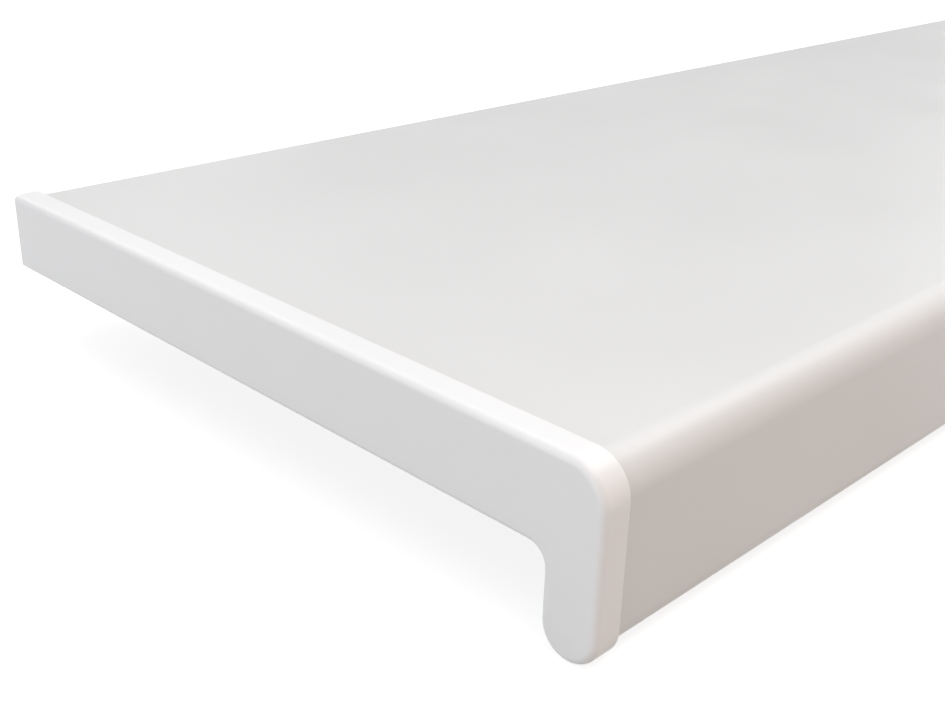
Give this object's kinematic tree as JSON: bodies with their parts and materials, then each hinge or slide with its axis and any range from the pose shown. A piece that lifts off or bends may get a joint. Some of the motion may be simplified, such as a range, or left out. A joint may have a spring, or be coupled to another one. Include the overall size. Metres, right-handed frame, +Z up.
{
  "type": "window sill board",
  "caption": "White hollow plastic window sill board with a rounded drop nose along its front edge and a moulded end cap.",
  "frame": {"origin": "under the middle of the whole part, at the height of its lowest point, the bottom of the cap's nose", "axes": "+X along the board from the capped end to the sawn end, +Y from the nose to the back edge, +Z up and square to the top face"},
  "size_m": [1.002, 0.2012, 0.0402],
  "materials": {
    "board_plastic": "satin",
    "cap_plastic": "satin"
  },
  "bodies": {
    "root": {"sill_board": "board_plastic", "end_cap": "cap_plastic"}
  },
  "joints": []
}
